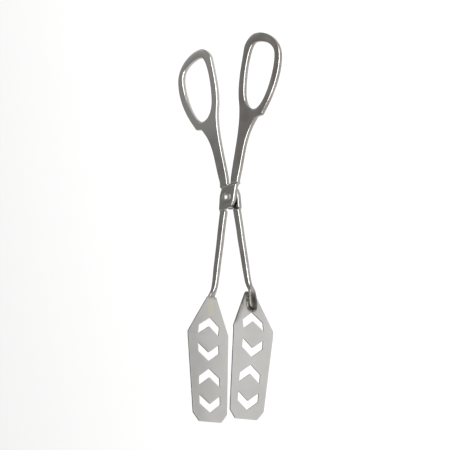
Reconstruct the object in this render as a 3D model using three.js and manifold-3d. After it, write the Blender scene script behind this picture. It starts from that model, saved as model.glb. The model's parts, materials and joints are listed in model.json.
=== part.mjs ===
// Scissor tongs for serving, in stainless steel: two identical riveted levers, each with a finger
// loop at one end and a slotted sheet blade brazed to the other.
//
// The pieces are drawn in the tongs' own plane, with the rivet on the Z axis, the handles towards +Y
// and the blades towards -Y. The finished tongs are then tipped until they lie on a table, and moved
// so that the origin is the bottom centre of the whole object. Sizes are in millimetres.

import * as THREE from 'three';
import { mergeVertices } from 'three/addons/utils/BufferGeometryUtils.js';
import Module from 'manifold-3d';

const wasm = await Module();
wasm.setup();

// ---------------------------------------------------------------- driving dimensions

// Bar that both levers are forged from.
const barThickness = 3.2;
const barEdge = 0.9;             // rounding along every edge of the bar

// Finger loop. Its heights count down from the top of the loop.
const handleReach = 97.9;        // rivet centre to the top of the loop
const loopGap = 8.2;             // middle of the tongs to the inner side of a loop, at its waist
const loopWidth = 32.2;          // waist to the widest point
const crownIn = 13.6;            // waist to the top of the loop, sideways
const spurIn = 17.7;             // waist to the spur under the loop, sideways
const widestDown = 17.6;
const shoulderDown = 7.1;
const waistDown = 35.9;
const hipDown = 44.7;
const spurDown = 51;
const spurShelf = 4.1;           // length of the flat under the spur
const innerBar = 4.9;            // width of the loop's bar, at the waist
const outerBar = 4.4;            // at the widest point
const crownBar = 5.6;            // at the top
const webBar = 4.2;              // between the spur and the hole

// Shank between the loop and the pivot pad.
const shankRoot = 10.5;          // rivet centre to where the shank stops widening
const shankRootX = 4.2;
const shankWidth = 6;
const shankFoot = 8.2;           // rivet centre to where the shank steps up to the pad
const shankFootX = 4.05;
const shankFootWidth = 5.8;

// Pivot pads: the levers cross here, one pad above the other.
const padTop = 8.2;
const padBottom = 6.4;
const padLeft = 6.3;
const padRight = 6.3;
const padGap = 0.9;              // between the two pads
const upperJog = [6.5, 8.3];     // where the bar steps from the pad's level to the middle
const lowerJog = [6.2, 7.8];
const rivetRadius = 2;
const rivetClearance = 0.1;      // round the rivet and under its heads
const headRadius = 3.3;
const headHeight = 1.2;
const tailRadius = 2.7;
const tailHeight = 0.8;
const washerRadius = 4;
const washerClearance = 0.1;     // to the pad on either side

// Lower arm, and the paddle that its end is flattened into.
const armWidth = 4.5;            // at the pad
const armTipWidth = 4;           // just above the paddle
const armRoot = 8;
const armRootX = 5.1;
const armTurn = 8.1;             // from the top of the blade up to where the arm turns out to it
const armTurnX = 12.4;
const paddleLap = 10.1;          // how far the paddle runs down over the blade
const paddleThickness = 1.6;
const paddleWidth = 6.6;
const brazeGap = 0.3;            // filled by the brazing metal

// Sheet blade.
const sheet = 0.7;
const neckTop = 58.1;            // rivet centre to the top of the blade
const neckTopX = 14;             // middle of the tongs to the top of the blade
const neckWidth = 8.3;
const bladeShoulder = 21.7;      // top of the blade to its widest corners
const foldDown = 22.8;           // top of the blade to the bend
const neckSplay = 7.1;           // degrees, the neck leans outwards
const shoulderWidth = 36;
const bladeLength = 73.3;
const tipWidth = 29.9;           // where the corner cuts start
const cornerCut = 4.9;           // length of a corner cut, along the blade
const endWidth = 19.2;

// The two blades were set by hand, so they differ a little. Pinch is how far a blade leans back
// inwards below its bend and lean is how far its foot turns up out of the levers' plane, in degrees.
// Rise is how far its top lies above the middle of the bars. The left blade is drawn turned over, so
// its lean and rise are negative.
const leftSet = { pinch: 2, lean: -1, rise: -1.3 };
const rightSet = { pinch: 6.6, lean: 1, rise: 0.3 };

// Chevron slots, in pairs that point away from each other.
const slotHalfWidth = 9.3;
const slotRise = 5.2;
const slotHeight = 5.2;
const slotStart = 12.1;          // top of the blade to the first slot's point
const slotPairSpan = 25.9;       // point to point within a pair
const slotPairPitch = 30.2;      // one pair to the next

// ---------------------------------------------------------------- helpers

const radians = THREE.MathUtils.degToRad;

// Closed geometry to a solid that can be cut and joined.
function solid(geometry) {
  const bare = geometry.clone();
  bare.deleteAttribute('normal');
  bare.deleteAttribute('uv');
  const merged = mergeVertices(bare, 1e-4);
  const vertProperties = new Float32Array(merged.attributes.position.array);
  const triVerts = new Uint32Array(merged.index.array);
  return new wasm.Manifold(new wasm.Mesh({ numProp: 3, vertProperties, triVerts }));
}

// Solid back to geometry.
function geometryOf(body) {
  const mesh = body.getMesh();
  const points = new Float32Array((mesh.vertProperties.length / mesh.numProp) * 3);
  for (let i = 0; i < points.length / 3; i += 1) {
    for (let k = 0; k < 3; k += 1) points[3 * i + k] = mesh.vertProperties[mesh.numProp * i + k];
  }
  const geometry = new THREE.BufferGeometry();
  geometry.setAttribute('position', new THREE.BufferAttribute(points, 3));
  geometry.setIndex(new THREE.BufferAttribute(new Uint32Array(mesh.triVerts), 1));
  geometry.computeVertexNormals();
  return geometry;
}

// A curve from one point to another on a path. leave and arrive are the lengths of its two handles,
// as shares of the span in x and y, so a 0 makes the curve start or end upright or level.
function curveTo(path, from, to, leave, arrive) {
  const dx = to[0] - from[0];
  const dy = to[1] - from[1];
  path.bezierCurveTo(
    from[0] + leave[0] * dx, from[1] + leave[1] * dy,
    to[0] - arrive[0] * dx, to[1] - arrive[1] * dy,
    to[0], to[1],
  );
}

// A closed outline with straight sides and round corners, listed anticlockwise as [x, y, radius].
function roundedOutline(corners) {
  const shape = new THREE.Shape();
  corners.forEach(([x, y, radius], i) => {
    const corner = new THREE.Vector2(x, y);
    const [beforeX, beforeY] = corners.at(i - 1);
    const [afterX, afterY] = corners[(i + 1) % corners.length];
    const back = new THREE.Vector2(beforeX, beforeY).sub(corner).normalize();
    const on = new THREE.Vector2(afterX, afterY).sub(corner).normalize();
    const half = Math.acos(back.dot(on)) / 2;
    const centre = back.clone().add(on).setLength(radius / Math.sin(half)).add(corner);
    const start = back.multiplyScalar(radius / Math.tan(half)).add(corner).sub(centre);
    const end = on.multiplyScalar(radius / Math.tan(half)).add(corner).sub(centre);
    shape.absarc(centre.x, centre.y, radius, start.angle(), end.angle(), false);
  });
  return shape;
}

// A flat plate with rounded edges, centred on the given height.
function roundedPlate(shape, thickness, edge, height, curveSegments) {
  const geometry = new THREE.ExtrudeGeometry(shape, {
    depth: thickness - 2 * edge,
    bevelThickness: edge,
    bevelSize: edge,
    bevelOffset: -edge,
    bevelSegments: 3,
    curveSegments,
  });
  return solid(geometry.translate(0, 0, height - thickness / 2 + edge));
}

// A flat plate with square edges, standing on the Z = 0 plane.
function sharpPlate(shape, thickness) {
  return solid(new THREE.ExtrudeGeometry(shape, { depth: thickness, bevelEnabled: false, curveSegments: 12 }));
}

// A bar that follows rows of [x, y, width, thickness]. Its sections are upright rounded rectangles
// across Y, and lift(y) gives the height of their middle.
function bar(rows, rings, lift) {
  const middle = new THREE.CatmullRomCurve3(rows.map(([x, y]) => new THREE.Vector3(x, y, 0)));
  const size = new THREE.CatmullRomCurve3(rows.map(([, , w, t]) => new THREE.Vector3(w, t, 0)));
  const sides = 16;
  const halfStep = Math.PI / sides;
  const geometry = new THREE.CylinderGeometry(1, 1, 1, sides, rings - 1, false, halfStep);
  const place = geometry.attributes.position;
  const vertex = new THREE.Vector3();
  for (let i = 0; i < place.count; i += 1) {
    vertex.fromBufferAttribute(place, i);
    const along = 0.5 - vertex.y;
    const centre = middle.getPoint(along);
    const { x: width, y: thickness } = size.getPoint(along);
    const edge = Math.min(barEdge, width / 2, thickness / 2);
    const onRim = Math.hypot(vertex.x, vertex.z) > 0.5;
    const x = onRim ? Math.sign(vertex.x) * (width / 2 - edge) + edge * vertex.x : 0;
    const z = onRim ? Math.sign(vertex.z) * (thickness / 2 - edge) + edge * vertex.z : 0;
    place.setXYZ(i, centre.x + x, centre.y, lift(centre.y) + z);
  }
  return solid(geometry);
}

function cylinder(radius, height) {
  return solid(new THREE.CylinderGeometry(radius, radius, height, 40).rotateX(Math.PI / 2));
}

// ---------------------------------------------------------------- lever

const padLevel = (padGap + barThickness) / 2;

// Height of the bar's middle: raised at the pad, and level with the other lever everywhere else.
function leverLift(y) {
  const [from, to] = y > 0 ? upperJog : lowerJog;
  return padLevel * (1 - THREE.MathUtils.smoothstep(Math.abs(y), from, to));
}

// Finger loop and shank in one outline, with the finger hole.
function handleOutline() {
  const fromTop = (down) => handleReach - down;
  const foot = [shankFootX - shankFootWidth / 2, shankFoot];
  const outerFoot = [shankFootX + shankFootWidth / 2, shankFoot];
  const root = [shankRootX - shankWidth / 2, shankRoot];
  const outerRoot = [shankRootX + shankWidth / 2, shankRoot];
  const shelf = [loopGap + spurIn - spurShelf, fromTop(spurDown) - 0.9];
  const spur = [loopGap + spurIn, fromTop(spurDown)];
  const widest = [loopGap + loopWidth, fromTop(widestDown)];
  const crown = [loopGap + crownIn, handleReach];
  const shoulder = [loopGap + innerBar, fromTop(shoulderDown)];
  const waist = [loopGap, fromTop(waistDown)];
  const hip = [loopGap + 0.5, fromTop(hipDown)];

  const outline = new THREE.Shape();
  outline.moveTo(...outerFoot);
  outline.lineTo(...outerRoot);
  curveTo(outline, outerRoot, shelf, [0.33, 0.42], [0.71, 0.31]);
  outline.lineTo(spur[0] - 1, spur[1] - 0.6);
  outline.quadraticCurveTo(spur[0], spur[1] - 0.4, spur[0] + 0.6, spur[1] + 0.7);
  curveTo(outline, [spur[0] + 0.6, spur[1] + 0.7], widest, [0.52, 0.27], [0, 0.36]);
  curveTo(outline, widest, crown, [0, 0.58], [0.46, 0]);
  curveTo(outline, crown, shoulder, [0.52, 0], [0.06, 0.28]);
  curveTo(outline, shoulder, waist, [0.41, 0.32], [0, 0.34]);
  curveTo(outline, waist, hip, [0, 0.4], [0, 0.38]);
  curveTo(outline, hip, root, [0, 0.33], [0.33, 0.33]);
  outline.lineTo(...foot);

  const holeTop = [crown[0] + 0.2, crown[1] - crownBar];
  const holeWaist = [waist[0] + innerBar, waist[1] + 0.5];
  const holeBottom = [spur[0] - 5.5, spur[1] + webBar];
  const holeWidest = [widest[0] - outerBar, widest[1] + 1.2];
  const hole = new THREE.Path();
  hole.moveTo(...holeTop);
  curveTo(hole, holeTop, holeWaist, [0.58, 0], [0, 0.34]);
  curveTo(hole, holeWaist, holeBottom, [0, 0.57], [0.59, 0]);
  curveTo(hole, holeBottom, holeWidest, [0.44, 0], [0, 0.35]);
  curveTo(hole, holeWidest, holeTop, [0, 0.68], [0.35, 0]);
  outline.holes.push(hole);
  return outline;
}

// Flat pad round the rivet. Its sides slant with the lever and its upper left corner is cut off.
function padOutline() {
  return roundedOutline([
    [-padLeft, -padBottom, 1.1],
    [padRight - 3, -padBottom, 2.6],
    [padRight - 0.9, -padBottom + 3.6, 2.6],
    [padRight + 1.4, padTop, 1.1],
    [-padLeft + 4.5, padTop - 0.9, 2],
    [-padLeft + 2, padTop - 3, 2],
    [-padLeft + 0.7, padTop - 6.6, 6],
  ]);
}

// Short stretch of bar that steps from the pad up to the shank.
function upperStep() {
  const thickness = barThickness - 0.04;
  return bar([
    [shankRootX, shankRoot, shankWidth - 0.1, thickness],
    [shankFootX, shankFoot, shankFootWidth - 0.1, thickness],
    [shankFootX + 0.2, upperJog[0], shankFootWidth + 0.1, thickness],
    [shankFootX - 0.4, upperJog[0] - 3.2, shankFootWidth - 0.8, thickness],
  ], 16, leverLift);
}

// Distance of the blade neck's middle plane from the middle of the tongs, at a height below the rivet.
function neckX(down) {
  return neckTopX + (down - neckTop) * Math.tan(radians(neckSplay));
}

// Lower arm with its paddle. The paddle lies along the outer face of the blade's neck.
function lowerArm() {
  const offset = sheet / 2 + brazeGap + paddleThickness / 2;
  const end = neckTop + paddleLap;
  const turn = neckTop - armTurn;
  const straight = (share, width) => [
    -THREE.MathUtils.lerp(armRootX, armTurnX, share),
    -THREE.MathUtils.lerp(armRoot, turn, share),
    width,
    barThickness,
  ];
  const paddle = (down, width, thickness) => [-neckX(down) - offset, -down, thickness, width];
  return bar([
    [-armRootX + 2, -lowerJog[0] + 3, armWidth - 0.6, barThickness - 0.04],
    [-armRootX + 0.9, -lowerJog[0], armWidth - 0.2, barThickness - 0.02],
    straight(0, armWidth),
    straight(0.27, armWidth - 0.2),
    straight(0.45, (armWidth + armTipWidth) / 2),
    straight(0.73, armTipWidth),
    straight(1, armTipWidth),
    [-neckX(neckTop) + 0.35, -neckTop + 4, armTipWidth - 0.5, barThickness + 0.3],
    [-neckX(neckTop) - 1.3, -neckTop + 1, 2.1, paddleWidth - 2],
    paddle(neckTop + 2.5, paddleWidth - 0.3, paddleThickness),
    paddle(neckTop + 5.5, paddleWidth, paddleThickness),
    paddle(end - 1.8, paddleWidth - 0.4, paddleThickness - 0.1),
    paddle(end - 0.5, paddleWidth - 2.4, paddleThickness - 0.2),
    paddle(end, paddleWidth - 5, paddleThickness - 0.4),
  ], 50, leverLift);
}

// One lever, as it lies on top: loop at the upper right, paddle at the lower left.
function lever() {
  const handle = roundedPlate(handleOutline(), barThickness, barEdge, 0, 12);
  const pad = roundedPlate(padOutline(), barThickness, barEdge, padLevel, 3);
  const bore = cylinder(rivetRadius + rivetClearance, 4 * barThickness);
  return geometryOf(handle.add(upperStep()).add(pad).add(lowerArm()).subtract(bore));
}

// ---------------------------------------------------------------- blade

// One chevron slot, with its point at the given height below the top of the plate. Direction 1 points
// up towards the handles and -1 points down.
function slot(point, direction) {
  const tip = -point;
  const wing = tip - direction * slotRise;
  const path = new THREE.Path();
  path.moveTo(0, tip);
  path.lineTo(slotHalfWidth, wing);
  path.lineTo(slotHalfWidth, wing - direction * slotHeight);
  path.lineTo(0, tip - direction * slotHeight);
  path.lineTo(-slotHalfWidth, wing - direction * slotHeight);
  path.lineTo(-slotHalfWidth, wing);
  return path;
}

// Outline that is the same on both sides of the blade's centre line, from [half width, y] points that
// run down from the top. It goes anticlockwise.
function symmetricOutline(points) {
  const left = points.map(([half, y]) => new THREE.Vector2(-half, y));
  const right = points.map(([half, y]) => new THREE.Vector2(half, y)).reverse();
  return new THREE.Shape([...left, ...right]);
}

// Half the blade's width at the bend, which lies a little below the shoulders.
const foldShare = (foldDown - bladeShoulder) / (bladeLength - cornerCut - bladeShoulder);
const foldHalf = THREE.MathUtils.lerp(shoulderWidth, tipWidth, foldShare) / 2;

// The neck above the bend, flat, with the bend on Y = 0.
function neckPlate() {
  const outline = symmetricOutline([
    [neckWidth / 2 - 0.5, foldDown],
    [neckWidth / 2, foldDown - 0.5],
    [shoulderWidth / 2, foldDown - bladeShoulder],
    [foldHalf, 0],
  ]);
  outline.holes.push(slot(slotStart - foldDown, 1));
  return outline;
}

// The body below the bend, flat, with the bend on Y = 0.
function bodyPlate() {
  const outline = symmetricOutline([
    [foldHalf, 0],
    [tipWidth / 2, foldDown + cornerCut - bladeLength],
    [endWidth / 2, foldDown - bladeLength],
  ]);
  const first = slotStart - foldDown;
  outline.holes.push(slot(first + slotPairSpan, -1));
  outline.holes.push(slot(first + slotPairPitch, 1));
  outline.holes.push(slot(first + slotPairPitch + slotPairSpan, -1));
  return outline;
}

// Turns a plate drawn flat so that its width stands upright and its middle plane is at x = 0, with
// its foot swung outwards by the given angle about the bend.
function standUp(plate, swing) {
  const turn = new THREE.Matrix4().makeBasis(
    new THREE.Vector3(0, 0, 1),
    new THREE.Vector3(-Math.sin(radians(swing)), Math.cos(radians(swing)), 0),
    new THREE.Vector3(-Math.cos(radians(swing)), -Math.sin(radians(swing)), 0),
  );
  const centre = new THREE.Matrix4().makeTranslation(0, 0, -sheet / 2);
  return plate.transform(turn.multiply(centre).elements);
}

// Blade for the right-hand side, with its pinch, lean and rise.
function blade({ pinch, lean, rise }) {
  const neck = standUp(sharpPlate(neckPlate(), sheet), neckSplay);
  const body = standUp(sharpPlate(bodyPlate(), sheet), -pinch);
  const fold = cylinder(sheet / 2, 2 * foldHalf - 0.1);
  const bent = geometryOf(neck.add(fold).add(body));
  const neckRise = foldDown * Math.cos(radians(neckSplay));
  bent.translate(foldDown * Math.sin(radians(neckSplay)), -neckRise, 0);
  return bent.rotateX(radians(-lean)).translate(neckTopX, -neckTop, rise);
}

// ---------------------------------------------------------------- pivot

// Half of a turned profile, from the axis out and back, swept about Z.
function turned(profile) {
  const points = profile.map(([radius, height]) => new THREE.Vector2(radius, height));
  return new THREE.LatheGeometry(points, 40).rotateX(Math.PI / 2);
}

// A low dome as profile points, from its rim to its top.
function dome(radius, height, base) {
  return [1, 0.8, 0.55, 0.3, 0].map((share) => [
    radius * share,
    base + height * Math.sqrt(1 - share * share),
  ]);
}

// Rivet with a domed head above and a hammered tail below.
function rivet() {
  const seat = padGap / 2 + barThickness + rivetClearance;
  const tail = dome(tailRadius, tailHeight, seat).map(([radius, height]) => [radius, -height]);
  return turned([
    ...tail.reverse(),
    [rivetRadius, -seat],
    [rivetRadius, seat],
    ...dome(headRadius, headHeight, seat),
  ]);
}

// Spacer washer between the pads.
function washer() {
  const inner = rivetRadius + rivetClearance;
  const half = padGap / 2 - washerClearance;
  return turned([[inner, -half], [washerRadius, -half], [washerRadius, half], [inner, half], [inner, -half]]);
}

// ---------------------------------------------------------------- assembly

function steel(name, geometry, color, roughness) {
  const material = new THREE.MeshStandardMaterial({ color, roughness, metalness: 1 });
  const mesh = new THREE.Mesh(geometry, material);
  mesh.name = name;
  return mesh;
}

const tongs = new THREE.Group();
const halfTurn = Math.PI;
tongs.add(steel('lever_front', lever(), '#8d8c8a', 0.28));
tongs.add(steel('lever_back', lever().rotateY(halfTurn), '#8d8c8a', 0.28));
tongs.add(steel('blade_right', blade(rightSet), '#c2c2bf', 0.42));
tongs.add(steel('blade_left', blade(leftSet).rotateY(halfTurn), '#c2c2bf', 0.42));
tongs.add(steel('pivot_rivet', rivet(), '#a5a3a0', 0.25));
tongs.add(steel('pivot_washer', washer(), '#77756f', 0.5));

// Lowest point of the meshes on one side of the rivet, when the tongs are tipped by an angle about X.
function lowest(tip, side) {
  const vertex = new THREE.Vector3();
  let low = Infinity;
  tongs.children.forEach(({ geometry }) => {
    const place = geometry.attributes.position;
    for (let i = 0; i < place.count; i += 1) {
      vertex.fromBufferAttribute(place, i);
      if (vertex.y * side > 0) low = Math.min(low, vertex.y * Math.sin(tip) + vertex.z * Math.cos(tip));
    }
  });
  return low;
}

// The blades are deeper than the handles, so on a table the tongs tip until the loops touch it too.
function restingTip() {
  let level = 0;
  let tipped = radians(-20);
  for (let i = 0; i < 40; i += 1) {
    const middle = (level + tipped) / 2;
    if (lowest(middle, 1) > lowest(middle, -1)) level = middle;
    else tipped = middle;
  }
  return tipped;
}

const part = new THREE.Group();
tongs.rotation.x = restingTip();
part.add(tongs);
part.updateMatrixWorld(true);
const extent = new THREE.Box3().setFromObject(part, true);
part.position.set(
  -(extent.min.x + extent.max.x) / 2,
  -(extent.min.y + extent.max.y) / 2,
  -extent.min.z,
);

export default part;
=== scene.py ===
# %% [markdown]
# # Scissor serving tongs in stainless steel
#
# One-hand tongs of the scissor pattern: two forged levers cross at a rivet, each with a finger loop
# at one end and a wide slotted blade of sheet steel brazed to the other. Nothing here is soft, so the
# look depends on three things: true edges, the right finish on each kind of steel, and a studio that
# gives polished metal something to reflect.
#
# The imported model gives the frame: the box of every piece, the hinge and the bodies that move.

import json
import math

import bpy
import numpy as np
from mathutils import Matrix, Vector, noise
from mathutils.geometry import delaunay_2d_cdt


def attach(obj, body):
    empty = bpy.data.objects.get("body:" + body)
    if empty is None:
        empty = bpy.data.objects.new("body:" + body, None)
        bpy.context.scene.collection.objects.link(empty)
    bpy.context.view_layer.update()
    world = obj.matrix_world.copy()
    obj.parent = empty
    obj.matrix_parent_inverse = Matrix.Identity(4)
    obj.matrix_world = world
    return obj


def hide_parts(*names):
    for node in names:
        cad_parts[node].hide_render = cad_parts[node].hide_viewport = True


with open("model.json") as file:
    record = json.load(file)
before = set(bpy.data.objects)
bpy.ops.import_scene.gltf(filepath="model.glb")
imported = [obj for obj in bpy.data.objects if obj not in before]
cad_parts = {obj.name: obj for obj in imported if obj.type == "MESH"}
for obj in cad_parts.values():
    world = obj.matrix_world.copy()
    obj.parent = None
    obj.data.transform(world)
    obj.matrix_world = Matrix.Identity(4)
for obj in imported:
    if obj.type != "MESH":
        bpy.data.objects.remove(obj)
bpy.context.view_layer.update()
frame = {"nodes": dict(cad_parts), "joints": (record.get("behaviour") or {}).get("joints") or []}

# %% [markdown]
# The tongs are easiest to draw in their own plane, in millimetres: the rivet at the origin, X across
# in the opening direction, Y up to the finger loops and Z along the rivet. On the table that plane
# is tipped a few degrees, because the blades are deeper than the bars. The hinge in the record says
# where the rivet is and how its axis leans, so one matrix carries a drawing to its place.

# %% Seat the drawing plane on the hinge
MM = 0.001
hinge = frame["joints"][0]
rivet_axis = Vector(hinge["axis"]).normalized()
across = Vector((1, 0, 0))
along = rivet_axis.cross(across)
seat = Matrix((across, along, rivet_axis)).transposed().to_4x4()
seat.translation = Vector(hinge["pos_m"])
turned_over = Matrix.Rotation(math.pi, 4, "Y")
print("plane tipped by", round(math.degrees(math.atan2(rivet_axis.y, rivet_axis.z)), 2), "degrees")

# %% [markdown]
# ## Camera
#
# A long lens from about eight tenths of a metre, to the right of the tongs and above them, so the
# flat faces of the levers and the broad faces of the blades both show. Where it stands, where it aims
# and its slight roll are given in the drawing plane, and it is seated like every piece.

# %% Camera
EYE = Vector((492.78, -176.22, 592.34))
AIM = Vector((-4.25, -15.72, 0))
ROLL = math.radians(-0.67)
camera_data = bpy.data.cameras.new("camera")
camera_data.sensor_width = 36
camera_data.lens = 106.32
camera = bpy.data.objects.new("camera", camera_data)
bpy.context.scene.collection.objects.link(camera)
backward = (EYE - AIM).normalized()
level = Vector((0, 1, 0)).cross(backward).normalized()
camera_axes = Matrix((level, backward.cross(level), backward)).transposed().to_4x4()
camera_axes = camera_axes @ Matrix.Rotation(ROLL, 4, "Z")
camera_axes.translation = EYE * MM
camera.matrix_world = seat @ camera_axes
bpy.context.scene.camera = camera
print("camera at", [round(v, 3) for v in camera.matrix_world.translation])

# %% [markdown]
# ## A plate with rounded edges
#
# Levers and blades are both flat things with holes: an outline, a thickness and an edge. An extrude
# with a bevel would do, but it can't step sideways, thicken into a paddle or carry the slight waves
# that grinding by hand leaves. So the plate is built as rows that walk in from the outline, rising
# as a quarter circle, and a triangulated fill inside the last row. Top and bottom share the rows,
# and the rim joins them. A lever's edge then has real roundness for a highlight to run along.

# %% Outline helpers
def bezier(start, end, leave, arrive, steps=28):
    """Points on a curve. leave and arrive are handle lengths as shares of the span in x and y."""
    start, end = np.array(start, float), np.array(end, float)
    span = end - start
    one, two = start + span * leave, end - span * arrive
    t = np.linspace(0, 1, steps, endpoint=False)[:, None]
    return (1 - t) ** 3 * start + 3 * (1 - t) ** 2 * t * one + 3 * (1 - t) * t**2 * two + t**3 * end


def rounded_corner(before, corner, after, radius, steps=9):
    """Points on the arc that rounds a corner."""
    before, corner, after = (np.array(p, float) for p in (before, corner, after))
    back = (before - corner) / np.linalg.norm(before - corner)
    on = (after - corner) / np.linalg.norm(after - corner)
    half = math.acos(np.clip(back @ on, -1, 1)) / 2
    middle = (back + on) / np.linalg.norm(back + on)
    centre = corner + middle * radius / math.sin(half)
    first = corner + back * radius / math.tan(half) - centre
    last = corner + on * radius / math.tan(half) - centre
    turn = math.atan2(first[0] * last[1] - first[1] * last[0], first @ last)
    angles = np.linspace(0, turn, steps)
    swing = np.stack([np.cos(angles), np.sin(angles)], 1)
    side = np.array([-first[1], first[0]])
    return centre + swing[:, :1] * first + swing[:, 1:] * side


def even_spacing(points, spacing_at):
    """The closed line through points, cut again so that neighbours lie spacing_at(x, y) apart."""
    closed = np.vstack([points, points[:1]])
    doubled = np.linalg.norm(np.diff(closed, axis=0), axis=1) <= 1e-6
    closed = closed[np.append(~doubled, True)]
    steps = np.linalg.norm(np.diff(closed, axis=0), axis=1)
    middles = (closed[1:] + closed[:-1]) / 2
    density = np.append(0, np.cumsum(steps / spacing_at(middles[:, 0], middles[:, 1])))
    count = int(density[-1])
    wanted = np.linspace(0, density[-1], count, endpoint=False)
    return np.stack([np.interp(wanted, density, closed[:, k]) for k in (0, 1)], 1)


# %% Distance and inside tests
def distance_to(loops, points):
    """Distance from each point to the nearest of some closed lines."""
    best = np.full(len(points), 1e9)
    for loop in loops:
        ends = np.roll(loop, -1, axis=0)
        for start, end in zip(loop, ends):
            side = end - start
            share = np.clip((points - start) @ side / max(side @ side, 1e-12), 0, 1)
            near = start + share[:, None] * side
            best = np.minimum(best, np.hypot(*(points - near).T))
    return best


def inside(loop, points):
    """True for each point that lies inside a closed line."""
    x, y = points.T
    result = np.zeros(len(points), bool)
    for (x0, y0), (x1, y1) in zip(loop, np.roll(loop, -1, axis=0)):
        if y0 == y1:
            continue
        crosses = (y0 > y) != (y1 > y)
        result ^= crosses & (x < x0 + (y - y0) * (x1 - x0) / (y1 - y0))
    return result


# %% The plate builder
def plate(loops, half, edge, fill, arc_rows=6, wall_rows=2, raised=None):
    """Vertices in millimetres, faces, and a share for each vertex that is 1 on the rim and 0 inside.

    loops[0] should run anticlockwise and holes clockwise. half(x, y) is half the thickness and
    edge(x, y) the roundness of the edge there. fill(x, y) is the spacing of the points inside, and
    raised(x, y) is how far the middle of a face stands up."""
    boundary = np.vstack(loops)
    inward = []
    for loop in loops:
        tangent = np.roll(loop, -1, axis=0) - np.roll(loop, 1, axis=0)
        tangent /= np.linalg.norm(tangent, axis=1)[:, None]
        inward.append(np.stack([-tangent[:, 1], tangent[:, 0]], 1))
    inward = np.vstack(inward)
    starts = np.cumsum([0] + [len(loop) for loop in loops])
    following = np.arange(len(boundary))
    for a, b in zip(starts, starts[1:]):
        following[a:b] = np.roll(np.arange(a, b), -1)
    radius = edge(boundary[:, 0], boundary[:, 1])
    outer_step = boundary[following] - boundary
    for _ in range(40):  # a corner tighter than its edge gets a smaller edge
        walk = boundary + inward * radius[:, None]
        inner_step = walk[following] - walk
        tight = (inner_step * outer_step).sum(1) < 0.25 * (outer_step**2).sum(1)
        if not tight.any():
            break
        for near in (tight, np.roll(tight, 1), np.roll(tight, 2), np.roll(tight, -1)):
            radius[near] *= 0.93
    rows = []
    for angle in np.linspace(0, math.pi / 2, arc_rows):
        place = boundary + inward * (radius * (1 - math.cos(angle)))[:, None]
        height = half(place[:, 0], place[:, 1]) - radius * (1 - math.sin(angle))
        rows.append(np.column_stack([place, height]))
    inner = [rows[-1][a:b, :2] for a, b in zip(starts, starts[1:])]

    low, high = boundary.min(0), boundary.max(0)
    finest = float(np.min(fill(boundary[:, 0], boundary[:, 1])))
    across, up = np.arange(low[0], high[0], finest), np.arange(low[1], high[1], finest * 0.87)
    grid_x, grid_y = np.meshgrid(across, up)
    grid_x[1::2] += finest / 2
    column, line = np.meshgrid(range(grid_x.shape[1]), range(grid_x.shape[0]))
    points = np.stack([grid_x.ravel(), grid_y.ravel()], 1)
    coarse = np.maximum(1, np.round(fill(*points.T) / finest)).astype(int)
    keep = (column.ravel() % coarse == 0) & (line.ravel() % coarse == 0)
    points = points[keep]
    points = points[inside(loops[0], points)]
    for hole in loops[1:]:
        points = points[~inside(hole, points)]
    depth = distance_to(loops, points)
    clear = depth > edge(*points.T) + 0.45 * fill(*points.T)
    points, depth = points[clear], depth[clear]

    ring = np.vstack(inner)
    links = [(a + i, a + (i + 1) % (b - a)) for a, b in zip(starts, starts[1:]) for i in range(b - a)]
    flat = [Vector(p) for p in np.vstack([ring, points])]
    out, _, triangles, origin, _, _ = delaunay_2d_cdt(flat, links, [], 1, 1e-7)
    if len(out) != len(flat):
        print("crossing near", [tuple(round(c, 2) for c in v) for v, o in zip(out, origin) if not o])
    number = [o[0] if o else 0 for o in origin]
    triangles = np.array([[number[i] for i in tri] for tri in triangles])
    centres = np.array([[flat[i][:2] for i in tri] for tri in triangles]).mean(1)
    outside = ~inside(inner[0], centres)
    for hole in inner[1:]:
        outside |= inside(hole, centres)
    triangles = triangles[~outside]

    middle = half(*points.T)
    if raised:
        middle = middle + raised(*points.T) * (1 - np.exp(-(depth - edge(*points.T)) / 1.2))
    fill_rows = np.column_stack([points, middle])
    count = len(boundary)
    top = np.vstack(rows + [fill_rows])
    bottom = top * (1, 1, -1)
    walls = [rows[0] * (1, 1, share) for share in np.linspace(1, -1, wall_rows + 2)[1:-1]]
    vertices = np.vstack([top, bottom] + walls)
    faces = []
    size = len(top)
    last = (arc_rows - 1) * count

    def strip(lower, upper, flip):
        for i in range(count):
            j = following[i]
            quad = [lower + i, lower + j, upper + j, upper + i]
            faces.append(quad[::-1] if flip else quad)

    for row in range(arc_rows - 1):
        strip(row * count, (row + 1) * count, False)
        strip(size + row * count, size + (row + 1) * count, True)
    levels = [0] + [2 * size + k * count for k in range(wall_rows)] + [size]
    for upper, lower in zip(levels, levels[1:]):
        strip(lower, upper, False)
    rim = np.zeros(len(vertices))
    rim[:count] = rim[size:size + count] = 1
    rim[2 * size:] = 1

    # The fill's points are numbered from the last row on, which is where they stand in top.
    for a, b, c in (triangles + last).tolist():
        faces.append([a, b, c])
        faces.append([size + c, size + b, size + a])
    return vertices, faces, rim


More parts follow.
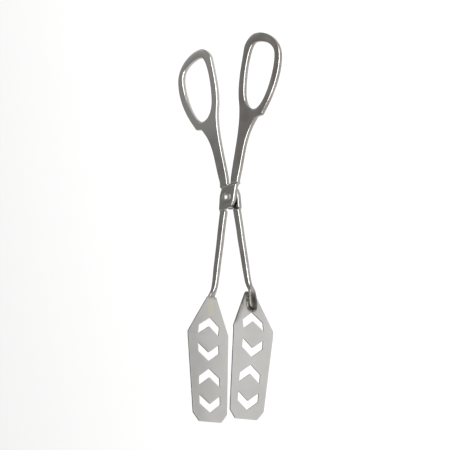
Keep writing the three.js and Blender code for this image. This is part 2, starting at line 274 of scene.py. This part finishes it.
# %% From numbers to an object
def steel_object(name, vertices, faces, matrix, **paint):
    """A smooth shaded mesh from millimetre points, seated by a matrix. paint holds shares for each
    vertex, by the name that a finish reads them under."""
    mesh = bpy.data.meshes.new(name)
    points = np.column_stack([np.array(vertices) * MM, np.ones(len(vertices))])
    placed = points @ np.array(matrix).T
    mesh.from_pydata(placed[:, :3].tolist(), [], [list(map(int, face)) for face in faces])
    for title, shares in paint.items():
        layer = mesh.attributes.new(title, "FLOAT", "POINT")
        layer.data.foreach_set("value", np.clip(shares, 0, 1).astype(np.float32))
    mesh.validate()
    mesh.shade_smooth()
    piece = bpy.data.objects.new(name, mesh)
    bpy.context.scene.collection.objects.link(piece)
    size = placed[:, :3].max(0) - placed[:, :3].min(0)
    print(name, len(mesh.vertices), "vertices,", " x ".join(f"{v / MM:.1f}" for v in size), "mm")
    return piece


# %% [markdown]
# ## Levers
#
# Each lever is one forging, about 3.2 mm thick and ground all round. From the top: a finger loop, a
# shank that narrows, a pad that steps up to pass over the other lever, an arm, and a paddle where
# the end of the bar was hammered flat, on edge, to lie against its blade. All of it fits one outline,
# with a thickness and a lift that change along its length. The second lever is the first turned over.

# %% Sizes of a lever
BAR = 3.2
EDGE = 0.95
PAD_GAP = 0.9
PAD_LEVEL = (BAR + PAD_GAP) / 2
NECK_TOP, NECK_TOP_X, NECK_SPLAY = 58.1, 14.0, math.radians(7.1)
SHEET = 0.7
PADDLE = 1.6
BRAZE_GAP = 0.3
PADDLE_OFF = SHEET / 2 + BRAZE_GAP + PADDLE / 2


def neck_x(down):
    """Middle plane of a blade's neck, at a depth below the rivet."""
    return NECK_TOP_X + (down - NECK_TOP) * math.tan(NECK_SPLAY)


# Rows down the arm: middle x, y, width across, thickness along the rivet.
ARM_ROWS = np.array([
    (-4.2, -6.2, 4.3, BAR),
    (-5.1, -8, 4.5, BAR),
    (-7.2, -19.5, 4.3, BAR),
    (-8.2, -26, 4.25, BAR),
    (-10.5, -39, 4, BAR),
    (-12.4, -50, 4, BAR),
    (-neck_x(58.1) + 0.35, -54.1, 3.5, 3.5),
    (-neck_x(58.1) - 1.3, -57.1, 2.1, 4.6),
    (-neck_x(60.6) - PADDLE_OFF, -60.6, PADDLE, 6.3),
    (-neck_x(63.6) - PADDLE_OFF, -63.6, PADDLE, 6.6),
    (-neck_x(66.4) - PADDLE_OFF, -66.4, PADDLE - 0.1, 6.2),
    (-neck_x(67.7) - PADDLE_OFF, -67.7, PADDLE - 0.2, 4.2),
    (-neck_x(68.2) - PADDLE_OFF, -68.2, PADDLE - 0.4, 2.2),
])


def smooth_rows(rows, steps=12):
    """Rows with a smooth curve drawn through every column."""
    padded = np.vstack([2 * rows[0] - rows[1], rows, 2 * rows[-1] - rows[-2]])
    out = []
    for a, b, c, d in zip(padded, padded[1:], padded[2:], padded[3:]):
        for t in np.linspace(0, 1, steps, endpoint=False):
            out.append(0.5 * (2 * b + (c - a) * t + (2 * a - 5 * b + 4 * c - d) * t**2
                              + (3 * b - a - 3 * c + d) * t**3))
    return np.array(out + [rows[-1]])


ARM = smooth_rows(ARM_ROWS)

# %% [markdown]
# The outline goes once round the lever, anticlockwise: up the pad's right side, round the loop with
# its little spur, down the inner side of the shank, over the pad's cut corner, down the arm, round
# the paddle and back.

# %% Outline of a lever
TOP = 97.9
GAP = 8.2
FOOT, OUTER_FOOT = (1.15, 8.2), (6.95, 8.2)
ROOT, OUTER_ROOT = (1.2, 10.5), (7.2, 10.5)
SHELF = (GAP + 13.6, TOP - 51.9)
SPUR = (GAP + 17.7, TOP - 51)
WIDEST = (GAP + 32.2, TOP - 17.6)
CROWN = (GAP + 13.6, TOP)
SHOULDER = (GAP + 4.9, TOP - 7.1)
WAIST = (GAP, TOP - 35.9)
HIP = (GAP + 0.5, TOP - 44.7)
PAD = [(-1.8, 7.3), (-4.3, 5.2), (-5.6, 1.6), (-6.3, -6.4)]


def lever_outline():
    spur_tip = (SPUR[0] + 0.6, SPUR[1] + 0.7)
    before_spur = (SPUR[0] - 1, SPUR[1] - 0.6)
    arm_left = np.stack([ARM[:, 0] - ARM[:, 2] / 2, ARM[:, 1]], 1)
    arm_right = np.stack([ARM[:, 0] + ARM[:, 2] / 2, ARM[:, 1]], 1)[::-1]
    arm_left = arm_left[arm_left[:, 1] < -7.4]
    arm_right = arm_right[arm_right[:, 1] < -7.6]
    end = ARM[-1]
    angles = np.linspace(math.pi, 2 * math.pi, 9)[1:-1]
    tip = end[2] / 2
    tongue = np.stack([end[0] + tip * np.cos(angles), end[1] + tip * 0.8 * np.sin(angles)], 1)
    return np.vstack([
        rounded_corner((-2, -6.4), (3.3, -6.4), (5.4, -2.8), 2.6),
        rounded_corner((3.3, -6.4), (5.4, -2.8), (7.7, 7.4), 2.6),
        rounded_corner((5.4, -2.8), (7.75, 7.7), OUTER_FOOT, 0.9, 5),
        rounded_corner((7.75, 7.7), OUTER_FOOT, OUTER_ROOT, 0.8, 4),
        bezier(OUTER_ROOT, SHELF, (0.33, 0.42), (0.71, 0.31), 40),
        [SHELF],
        bezier(before_spur, spur_tip, (0.67, 0.1), (0.2, 0.6), 8),
        bezier(spur_tip, WIDEST, (0.52, 0.27), (0, 0.36)),
        bezier(WIDEST, CROWN, (0, 0.58), (0.46, 0)),
        bezier(CROWN, SHOULDER, (0.52, 0), (0.06, 0.28)),
        bezier(SHOULDER, WAIST, (0.41, 0.32), (0, 0.34)),
        bezier(WAIST, HIP, (0, 0.4), (0, 0.38), 12),
        bezier(HIP, ROOT, (0, 0.33), (0.33, 0.33)),
        rounded_corner(ROOT, FOOT, PAD[0], 0.8, 5),
        rounded_corner(FOOT, PAD[0], PAD[1], 2, 5),
        rounded_corner(PAD[0], PAD[1], PAD[2], 2, 5),
        rounded_corner(PAD[1], PAD[2], PAD[3], 6, 5),
        rounded_corner(PAD[2], PAD[3], (-7.1, -8.2), 1.2, 4),
        arm_left, tongue, arm_right,
        rounded_corner((-3.3, -10), (-2.6, -6.5), (3.3, -6.4), 1.0, 5),
    ])


def finger_hole():
    top = (CROWN[0] + 0.2, CROWN[1] - 5.6)
    waist = (WAIST[0] + 4.9, WAIST[1] + 0.5)
    bottom = (SPUR[0] - 5.5, SPUR[1] + 4.2)
    widest = (WIDEST[0] - 4.4, WIDEST[1] + 1.2)
    anticlockwise = np.vstack([
        bezier(top, waist, (0.58, 0), (0, 0.34)),
        bezier(waist, bottom, (0, 0.57), (0.59, 0)),
        bezier(bottom, widest, (0.44, 0), (0, 0.35)),
        bezier(widest, top, (0, 0.68), (0.35, 0)),
    ])
    return anticlockwise[::-1]


# %% Thickness, edge and lift of a lever
def smooth_step(value, start, end):
    share = np.clip((value - start) / (end - start), 0, 1)
    return share * share * (3 - 2 * share)


def lever_half(x, y):
    down = ARM[::-1]
    return np.where(y < -6.2, np.interp(y, down[:, 1], down[:, 3]), BAR) / 2


def lever_edge(x, y):
    round_corner = 0.35 * smooth_step(x, 2.5, 4) * (np.abs(y) < 6)
    swell = 0.15 * smooth_step(y, 34, 50) + 0.45 * smooth_step(-y, 40, 50) * (1 - smooth_step(-y, 53, 57))
    return EDGE + swell + round_corner - (EDGE - 0.45) * smooth_step(-y, 53, 58.5)


def lever_lift(y):
    return PAD_LEVEL * (1 - np.where(y > 0, smooth_step(y, 6.6, 8.7), smooth_step(-y, 6.2, 8)))


def lever_spacing(x, y):
    near_pad = np.abs(y) < 12
    return np.where(near_pad | (y < -52), 0.35, 0.7)


def ground_wave(x, y):
    """A face ground by hand stands a little proud in the middle and waves slowly along the bar."""
    waves = [noise.noise(Vector((a / 9, b / 14, 0))) for a, b in zip(x, y)]
    return 0.03 + 0.03 * np.array(waves)


# %% Make both levers
def lever_numbers():
    loops = [even_spacing(lever_outline(), lever_spacing), even_spacing(finger_hole(), lever_spacing)]
    vertices, faces, _ = plate(loops, lever_half, lever_edge, lever_spacing, raised=ground_wave)
    vertices[:, 2] += lever_lift(vertices[:, 1])
    return vertices, faces


def patchy(points, size, seed):
    """A smooth random value from 0 to 1 at each point, in patches of that many millimetres."""
    values = [noise.noise(Vector((x / size, y / size, z / size + seed))) for x, y, z in points]
    return np.clip(0.5 + 0.9 * np.array(values), 0, 1)


lever_vertices, lever_faces = lever_numbers()
height = lever_vertices[:, 1]
# The scorch on the paddle is painted thinner towards its long edges: a painted highlight streak down the
# paddle.
painted_streak = smooth_step(np.abs(lever_vertices[:, 2]), 1.6, 2.6) * smooth_step(-height, 56, 60)
scorched = smooth_step(-height, 57, 60) * (0.7 + 0.5 * patchy(lever_vertices, 1.6, 4)) * (1 - 0.6 * painted_streak)
warm = 0.15 * smooth_step(-height, 50, 57)
warm += 0.35 * patchy(lever_vertices, 9, 11) * smooth_step(height, 5, 20)
lever_front = steel_object(
    "forged_lever_front", lever_vertices, lever_faces, seat,
    scorched=scorched, brown=warm, buffed=0 * height)
# The back lever's loop is painted paler: a painted sheen, where that loop catches more light.
lever_back = steel_object(
    "forged_lever_back", lever_vertices, lever_faces, seat @ turned_over,
    scorched=scorched, brown=warm * (height < 5), buffed=smooth_step(height, 30, 50))

# %% [markdown]
# ## Blades
#
# The blades are 0.7 mm sheet, sheared to shape, punched with chevron slots and bent once across the
# first slot's foot. They are drawn flat, with u across and s down from the top, and then wrapped
# round the bend. The two were set by hand when they were brazed, so each has its own pinch and lean.

# %% Flat pattern of a blade
FOLD_DOWN = 22.8
SHOULDER_DOWN = 21.7
BLADE_LENGTH = 73.3
CUT = 4.9
SHOULDER_HALF, TIP_HALF, END_HALF, NECK_HALF = 18.0, 14.95, 9.6, 4.15
SLOT_HALF, SLOT_RISE, SLOT_HIGH = 9.3, 5.2, 5.2
SLOTS = [(12.1, 1), (38.0, -1), (42.3, 1), (68.2, -1)]
SHEET_EDGE = 0.1


def blade_outline():
    """Known fault: this runs clockwise. So plate() flares the outer edge out by SHEET_EDGE, where it
    should round it in, and the faces of that edge point inward. The repair is to reverse it."""
    right = [
        (NECK_HALF - 0.5, 0), (NECK_HALF, 0.5), (SHOULDER_HALF, SHOULDER_DOWN),
        (TIP_HALF, BLADE_LENGTH - CUT), (END_HALF, BLADE_LENGTH),
    ]
    corners = [(-u, -s) for u, s in right[::-1]] + [(u, -s) for u, s in right]
    rounds = [0.4, 0.4, 0.6, 0.3, 0.3, 0.3, 0.3, 0.6, 0.4, 0.4]
    pieces = []
    for i, corner in enumerate(corners):
        after = corners[(i + 1) % len(corners)]
        pieces.append(rounded_corner(corners[i - 1], corner, after, rounds[i], 5))
    return np.vstack(pieces)


def slot_outline(point, direction):
    wing = point + direction * SLOT_RISE
    far = direction * SLOT_HIGH
    corners = [
        (0, -point), (SLOT_HALF, -wing), (SLOT_HALF, -wing - far), (0, -point - far),
        (-SLOT_HALF, -wing - far), (-SLOT_HALF, -wing),
    ]
    if direction < 0:
        corners = corners[::-1]
    pieces = [
        rounded_corner(corners[i - 1], corner, corners[(i + 1) % 6], 0.25, 4)
        for i, corner in enumerate(corners)
    ]
    return np.vstack(pieces)


# %% Wrap the pattern round its bend
BEND_RADIUS = 5.0


def bent_blade(vertices, pinch, lean, rise):
    """Carries a flat pattern to the right-hand blade's place. Height becomes the inner side."""
    u, minus_s, height = vertices.T
    s = -minus_s
    total = NECK_SPLAY + math.radians(pinch)
    arc = BEND_RADIUS * total
    start = FOLD_DOWN - arc / 2
    angle = NECK_SPLAY - total * np.clip((s - start) / arc, 0, 1)
    fine = np.linspace(-1, BLADE_LENGTH + 1, 6000)
    fine_angle = NECK_SPLAY - total * np.clip((fine - start) / arc, 0, 1)
    gap = fine[1] - fine[0]
    x_line = np.cumsum(np.sin(fine_angle)) * gap
    y_line = -np.cumsum(np.cos(fine_angle)) * gap
    x_line -= np.interp(0, fine, x_line)
    y_line -= np.interp(0, fine, y_line)
    x = np.interp(s, fine, x_line) - height * np.cos(angle)
    y = np.interp(s, fine, y_line) - height * np.sin(angle)
    tilt = math.radians(-lean)
    return np.column_stack([
        x + NECK_TOP_X,
        y * math.cos(tilt) - u * math.sin(tilt) - NECK_TOP,
        y * math.sin(tilt) + u * math.cos(tilt) + rise,
    ])


# %% Make both blades
RIGHT_SET = {"pinch": 6.6, "lean": 1, "rise": 0.3}
LEFT_SET = {"pinch": 2, "lean": -1, "rise": -1.3}


def flat(value):
    """The same value all over a plate, in the form that plate() asks for."""
    return lambda x, y: np.full(np.shape(x), value)


def flat_blade():
    fill = lambda x, y: np.where(np.abs(-y - FOLD_DOWN) < 1.5, 0.5, 1.5)
    loops = [even_spacing(blade_outline(), flat(0.7))]
    loops += [even_spacing(slot_outline(*slot), flat(0.7)) for slot in SLOTS]
    return plate(loops, flat(SHEET / 2), flat(SHEET_EDGE), fill, arc_rows=4, wall_rows=1)


# The rim share marks the sheared walls, and the finish paints them dark: painted shade where the walls
# lie in shadow.
blade_vertices, blade_faces, sheared = flat_blade()
blade_u, blade_s = blade_vertices[:, 0], -blade_vertices[:, 1]
from_joint = np.hypot(blade_u, np.maximum(0, np.abs(blade_s - 6) - 2.2))
mottle = patchy(blade_vertices, 2.2, 7)
straw = (1 - smooth_step(from_joint, 1.4, 3.6)) * (0.55 + 0.6 * mottle)
# Painted shade on the right blade: a grey brown band and a dark line along its upper slanted edge, where
# the neck lies in shadow. It is painted in the same attribute as the heat tint.
slant = (SHOULDER_HALF - NECK_HALF) / SHOULDER_DOWN
from_slant = (NECK_HALF + slant * blade_s - np.abs(blade_u)) / math.hypot(1, slant)
slant_shade_band = 0.45 * (1 - smooth_step(from_slant, 0.8, 4)) + 0.5 * (1 - smooth_step(from_slant, 0.3, 0.8))
slant_shade_band *= (1 - smooth_step(blade_s, 17, 22)) * (blade_u > 0)
blade_right = steel_object(
    "sheet_blade_right", bent_blade(blade_vertices, **RIGHT_SET), blade_faces, seat,
    sheared=sheared, straw=0.6 * straw,
    brown=(1 - smooth_step(from_joint, 3.2, 5)) * (0.3 + mottle) + slant_shade_band * (0.4 + mottle))
blade_left = steel_object(
    "sheet_blade_left", bent_blade(blade_vertices, **LEFT_SET), blade_faces, seat @ turned_over,
    sheared=sheared, straw=straw, brown=(1 - smooth_step(blade_s, 0.3, 1.2)) * mottle)

# %% [markdown]
# ## Brazing
#
# The paddles don't touch their blades: a skin of braze fills the 0.3 mm between them, and has run out
# into a small bead all round each paddle. It follows the paddle's own outline, a little wider. The
# right one ran out further than the left.

# %% Make the braze beads
BEAD_HALF, BEAD_EDGE, BEAD_OFF = 0.27, 0.24, 0.6


def braze_bead(run_out, shift):
    """A flat bead on the outer side of a blade's neck, in the blade's flat pattern."""
    rows = ARM[ARM[:, 1] < -59]
    across, down = rows[:, 3] / 2 + run_out, rows[:, 1] + NECK_TOP
    down = down * (down[-1] - run_out) / down[-1]
    outline = np.vstack([np.stack([-across, down], 1), np.stack([across, down], 1)[::-1]])
    loops = [even_spacing(outline, flat(0.45))]
    vertices, faces, _ = plate(
        loops, flat(BEAD_HALF), flat(BEAD_EDGE), flat(0.7), arc_rows=5, wall_rows=1)
    wobble = patchy(vertices, 1.3, 20)
    vertices[:, :2] *= 1 + 0.07 * (wobble[:, None] - 0.5)
    vertices[:, 0] += shift
    vertices[:, 2] -= BEAD_OFF
    return vertices, faces


bead_vertices, bead_faces = braze_bead(1.2, -0.3)
braze_right = steel_object(
    "braze_bead_right", bent_blade(bead_vertices, **RIGHT_SET), bead_faces, seat)
bead_vertices, bead_faces = braze_bead(0.45, 1.3)
braze_left = steel_object(
    "braze_bead_left", bent_blade(bead_vertices, **LEFT_SET), bead_faces, seat @ turned_over)

# %% [markdown]
# ## Rivet
#
# The pivot is a solid rivet. Its head was set with a domed tool, so it is a low smooth button. It is a
# profile turned round the axis. The levers here have no bore, so it passes straight through them.

# %% Make the rivet
RIVET_RADIUS, RIVET_CLEARANCE = 2.0, 0.1
TAIL_RADIUS, TAIL_RISE = 2.7, 0.8
HEAD_RADIUS, HEAD_RISE, DOME_RISE = 3.3, 1.2, 1.0


def turned_rivet():
    seat_height = PAD_GAP / 2 + BAR + RIVET_CLEARANCE
    profile = [(0, -seat_height - TAIL_RISE)]
    for angle in np.radians(np.linspace(80, 0, 9)):
        profile.append((TAIL_RADIUS * math.cos(angle), -seat_height - TAIL_RISE * math.sin(angle)))
    profile += [(RIVET_RADIUS, -seat_height), (RIVET_RADIUS, seat_height)]
    profile += [(HEAD_RADIUS - 0.1, seat_height), (HEAD_RADIUS, seat_height + 0.1)]
    dome = HEAD_RADIUS - 0.05
    ball = (dome**2 + DOME_RISE**2) / (2 * DOME_RISE)  # radius of the ball the dome is cut from
    for out in (3.25, 3.15, 2.95, 2.65, 2.3, 1.9, 1.45, 1, 0.5):
        profile.append((out, seat_height + HEAD_RISE - ball + math.sqrt(ball**2 - out**2)))
    profile.append((0, seat_height + HEAD_RISE))
    sides = 72
    vertices, faces = [], []
    for radius, height in profile[1:-1]:
        for i in range(sides):
            a = 2 * math.pi * i / sides
            vertices.append((radius * math.cos(a), radius * math.sin(a), height))
    rows = len(profile) - 2
    for row in range(rows - 1):
        for i in range(sides):
            j = (i + 1) % sides
            lower, upper = row * sides, (row + 1) * sides
            faces.append([lower + i, lower + j, upper + j, upper + i])
    vertices += [(0, 0, profile[0][1]), (0, 0, profile[-1][1])]
    foot, top = len(vertices) - 2, len(vertices) - 1
    for i in range(sides):
        j = (i + 1) % sides
        faces.append([foot, j, i])
        faces.append([top, (rows - 1) * sides + i, (rows - 1) * sides + j])
    return vertices, faces


rivet_vertices, rivet_faces = turned_rivet()
rivet = steel_object("domed_rivet", rivet_vertices, rivet_faces, seat)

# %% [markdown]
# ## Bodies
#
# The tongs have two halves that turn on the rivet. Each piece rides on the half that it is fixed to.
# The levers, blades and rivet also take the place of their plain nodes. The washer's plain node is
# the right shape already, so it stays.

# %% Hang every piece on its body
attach(lever_front, "front_half")
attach(blade_left, "front_half")
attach(braze_left, "front_half")
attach(lever_back, "back_half")
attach(blade_right, "back_half")
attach(braze_right, "back_half")
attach(rivet, "back_half")
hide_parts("lever_front")
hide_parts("lever_back")
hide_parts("blade_left")
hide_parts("blade_right")
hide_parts("pivot_rivet")
print("7 pieces ride on 2 bodies, and 5 of them replace a node")

# %% [markdown]
# ## Finishes
#
# Nearly everything is stainless steel, so the finishes differ in how the surface was made. The levers
# were forged and then ground and buffed: dark and glossy, with a slightly mottled face. The blades
# are rolled sheet with a satin grain: paler and softer. Heat from brazing left straw and brown tints
# near the joints. Metals keep the default IOR, and colour comes from the base colour.

# %% Colour and node helpers
def srgb(code):
    """A hex colour as the linear values that shaders use."""
    values = [int(code[i:i + 2], 16) / 255 for i in (1, 3, 5)]
    linear = [v / 12.92 if v <= 0.04045 else ((v + 0.055) / 1.055) ** 2.4 for v in values]
    return (*linear, 1.0)


def node(tree, kind, links=None, **settings):
    """Adds a node. settings set its properties or its inputs by name, and links join its inputs."""
    made = tree.nodes.new(kind)
    for name, value in settings.items():
        if hasattr(made, name):
            setattr(made, name, value)
        else:
            made.inputs[name.replace("_", " ")].default_value = value
    for name, source in (links or {}).items():
        tree.links.new(source, made.inputs[name])
    return made


def metal(name, color, roughness):
    """A new metallic material, with its node tree and shader."""
    material = bpy.data.materials.new(name)
    material.use_nodes = True
    tree = material.node_tree
    shader = tree.nodes["Principled BSDF"]
    shader.inputs["Base Color"].default_value = srgb(color)
    shader.inputs["Metallic"].default_value = 1
    shader.inputs["Roughness"].default_value = roughness
    return material, tree, shader


def per_metre(size_mm):
    """Noise scale whose blotches are about this many millimetres across."""
    return 1 / (size_mm * MM)


# %% [markdown]
# ### Ground forged stainless
#
# A wheel took the forging scale off along the bar, and a buff rounded what the wheel left. To the
# eye that is a dark soft mirror with cloudy patches about 9 mm across, and a fine grain along the
# bar. Real grinding grain is about 0.05 mm wide. It is drawn 0.5 mm wide, or it would not show. The
# back lever's loop is painted paler, a painted sheen. The heat of brazing scorched the paddles, and
# the scorch is painted thinner towards their long edges, a painted highlight streak. The rivet's
# head has the same finish a little paler and duller.

# %% Ground forged stainless
def grain(tree, width_mm, length_mm, detail=3.0):
    """Streaks along the tongs, as a noise squeezed across and stretched along Y."""
    where = node(tree, "ShaderNodeTexCoord")
    squeezed = node(
        tree, "ShaderNodeMapping", {"Vector": where.outputs["Object"]},
        Scale=(per_metre(width_mm), per_metre(length_mm), per_metre(width_mm)),
    )
    return node(
        tree, "ShaderNodeTexNoise", {"Vector": squeezed.outputs["Vector"]}, Scale=1.0, Detail=detail,
    )


def clouds(tree, size_mm, detail=3.0):
    """Soft patches of one size in every direction."""
    where = node(tree, "ShaderNodeTexCoord")
    return node(
        tree, "ShaderNodeTexNoise", {"Vector": where.outputs["Object"]},
        Scale=per_metre(size_mm), Detail=detail,
    )


def ranged(tree, source, low, high, from_low=0.35, from_high=0.65):
    """The middle of a noise's range, mapped to run from low to high."""
    return node(
        tree, "ShaderNodeMapRange", {"Value": source},
        From_Min=from_low, From_Max=from_high, To_Min=low, To_Max=high,
    ).outputs["Result"]


def blended(tree, share, first, second):
    """One colour or the other, by share. Each is a hex code or another node's colour."""
    mix = node(tree, "ShaderNodeMix", data_type="RGBA")
    tree.links.new(share, mix.inputs[0])
    for slot_number, color in ((6, first), (7, second)):
        if isinstance(color, str):
            mix.inputs[slot_number].default_value = srgb(color)
        else:
            tree.links.new(color, mix.inputs[slot_number])
    return mix.outputs[2]


def attribute(tree, name):
    return node(tree, "ShaderNodeAttribute", attribute_name=name).outputs["Fac"]


def forged_finish(name, pale, dark, glossiest, dullest):
    material, tree, shader = metal(name, pale, dullest)
    patches = ranged(tree, clouds(tree, 9).outputs["Fac"], 0, 1)
    color = blended(tree, patches, pale, dark)
    # Painted sheen: the back lever's loop is painted paler.
    color = blended(tree, attribute(tree, "buffed"), color, "#aeaca9")
    color = blended(tree, attribute(tree, "brown"), color, "#7d736b")
    color = blended(tree, attribute(tree, "scorched"), color, "#2f2c2b")
    tree.links.new(color, shader.inputs["Base Color"])
    streaks = grain(tree, 0.5, 20)
    polish = ranged(tree, streaks.outputs["Fac"], glossiest, dullest)
    tree.links.new(polish, shader.inputs["Roughness"])
    relief = node(
        tree, "ShaderNodeBump", {"Height": streaks.outputs["Fac"]}, Strength=0.1, Distance=0.002 * MM,
    )
    tree.links.new(relief.outputs["Normal"], shader.inputs["Normal"])
    return material


forged = forged_finish("ground_forged_stainless", "#a09e9b", "#92908d", 0.225, 0.25)
set_head = forged_finish("cold_set_rivet_stainless", "#9d9c99", "#8b8a87", 0.25, 0.29)
print("forged finish:", len(forged.node_tree.nodes), "nodes")

# %% [markdown]
# ### Satin rolled sheet
#
# Sheet comes from the mill with a fine directional satin. The faces are pale and even, with slight
# clouds 18 mm across. The sheared walls are painted darker: painted shade, where the walls of the
# outline and the slots lie in shadow. The heat tint is straw where the joint was warm and grey brown
# where it was hot. The right blade also has painted shade in that grey brown: a band and a dark line
# along its upper slanted edge, where the neck lies in shadow. The satin's lines are under 0.05 mm
# apart on real sheet. They are drawn 0.45 mm wide, or they would not show.

# %% Satin rolled sheet
def sheet_finish(name):
    material, tree, shader = metal(name, "#b7b6b4", 0.42)
    patches = ranged(tree, clouds(tree, 18).outputs["Fac"], 0, 1)
    color = blended(tree, patches, "#b7b6b4", "#b1b0ae")
    color = blended(tree, attribute(tree, "straw"), color, "#bbb8a8")
    # Grey brown heat tint near the joints, and painted shade along the right blade's slanted edge.
    color = blended(tree, attribute(tree, "brown"), color, "#645a53")
    # Painted shade on the sheared walls.
    color = blended(tree, attribute(tree, "sheared"), color, "#484745")
    tree.links.new(color, shader.inputs["Base Color"])
    streaks = grain(tree, 0.45, 16)
    tree.links.new(ranged(tree, streaks.outputs["Fac"], 0.38, 0.46), shader.inputs["Roughness"])
    relief = node(
        tree, "ShaderNodeBump", {"Height": streaks.outputs["Fac"]}, Strength=0.1, Distance=0.004 * MM,
    )
    tree.links.new(relief.outputs["Normal"], shader.inputs["Normal"])
    return material


rolled = sheet_finish("satin_rolled_stainless_sheet")
print("sheet finish:", len(rolled.node_tree.nodes), "nodes")

# %% [markdown]
# ### Braze
#
# Silver braze after the flame: dull silver where it ran clean, and black where the flux burned on.
# Its blotches are 0.5 to 1 mm across.

# %% Braze
braze_metal, braze_tree, braze_shader = metal("flame_blackened_silver_braze", "#6a6460", 0.4)
blotches = ranged(braze_tree, clouds(braze_tree, 0.9).outputs["Fac"], 0, 1, 0.4, 0.6)
braze_color = blended(braze_tree, blotches, "#2b2725", "#8f8a84")
braze_tree.links.new(braze_color, braze_shader.inputs["Base Color"])
braze_tree.links.new(ranged(braze_tree, blotches, 0.6, 0.3, 0, 1), braze_shader.inputs["Roughness"])

# %% [markdown]
# ### Washer steel
#
# The washer is pressed from plain steel and left as it came: a dull grey. Spots a little over a
# millimetre across differ from it in gloss alone.

# %% Plain washer steel
washer_steel, washer_tree, washer_shader = metal("plain_pressed_washer_steel", "#77746f", 0.5)
washer_spots = clouds(washer_tree, 1.2)
washer_polish = ranged(washer_tree, washer_spots.outputs["Fac"], 0.4, 0.6)
washer_tree.links.new(washer_polish, washer_shader.inputs["Roughness"])
print("braze:", len(braze_tree.nodes), "nodes, washer steel:", len(washer_tree.nodes), "nodes")

# %% Give out the finishes
for piece in (lever_front, lever_back):
    piece.data.materials.append(forged)
for piece in (braze_left, braze_right):
    piece.data.materials.append(braze_metal)
rivet.data.materials.append(set_head)
for piece in (blade_left, blade_right):
    piece.data.materials.append(rolled)
washer = frame["nodes"]["pivot_washer"]
washer.data.materials.clear()
washer.data.materials.append(washer_steel)

# %% [markdown]
# ## Studio
#
# Polished metal shows the room, so the room is drawn for it. The floor is a white light table that
# glows a little, and the lights cast no shadows, so that it stays white. The room is mid grey, which
# the upward faces show. A tall soft light on the right runs along the rounded right-hand edges as a
# thin white line. A weak small one stands behind on the left, and one lights nothing but the rivet's
# head, to give it its round glint.

# %% Floor
floor_mesh = bpy.data.meshes.new("floor")
floor_mesh.from_pydata([(-3, -3, 0), (3, -3, 0), (3, 3, 0), (-3, 3, 0)], [], [[0, 1, 2, 3]])
floor = bpy.data.objects.new("floor", floor_mesh)
bpy.context.scene.collection.objects.link(floor)
floor_paint = bpy.data.materials.new("white_light_table_acrylic")
floor_paint.use_nodes = True
floor_shader = floor_paint.node_tree.nodes["Principled BSDF"]
floor_shader.inputs["Base Color"].default_value = srgb("#cccccc")
floor_shader.inputs["Roughness"].default_value = 0.9
floor_shader.inputs["Specular IOR Level"].default_value = 0.1
floor_shader.inputs["Emission Color"].default_value = (1, 1, 1, 1)
floor_shader.inputs["Emission Strength"].default_value = 0.2
floor.data.materials.append(floor_paint)


# %% Lights
def softbox(name, direction, distance, width, height, power):
    """A rectangular area light aimed at the rivet from a direction, with its height along Y."""
    data = bpy.data.lights.new(name, "AREA")
    data.shape = "RECTANGLE"
    data.size, data.size_y = width, height
    data.energy = power
    data.use_shadow = False
    lamp = bpy.data.objects.new(name, data)
    bpy.context.scene.collection.objects.link(lamp)
    aim = Vector(direction).normalized()
    tall = (Vector((0, 1, 0)) - aim * aim.y).normalized()
    lamp.matrix_world = Matrix((tall.cross(aim), tall, aim)).transposed().to_4x4()
    lamp.location = Vector(hinge["pos_m"]) + aim * distance
    return lamp


softbox("key_right", (0.72, 0.15, 0.64), 1.2, 0.6, 1.8, 31)
glint = softbox("glint_on_rivet", (-0.4, 0.2, 0.89), 1.2, 0.7, 0.7, 6)
only_rivet = bpy.data.collections.new("glint_receivers")
only_rivet.objects.link(rivet)
glint.light_linking.receiver_collection = only_rivet
softbox("rim_back", (-0.62, 0.62, 0.48), 1.2, 0.3, 0.3, 0.35)
world = bpy.data.worlds.new("studio")
bpy.context.scene.world = world
world.use_nodes = True
world.node_tree.nodes["Background"].inputs["Color"].default_value = (1, 0.995, 0.985, 1)
world.node_tree.nodes["Background"].inputs["Strength"].default_value = 0.45
bpy.context.scene.view_settings.view_transform = "Standard"
print("lights:", sorted(light.name for light in bpy.data.lights))
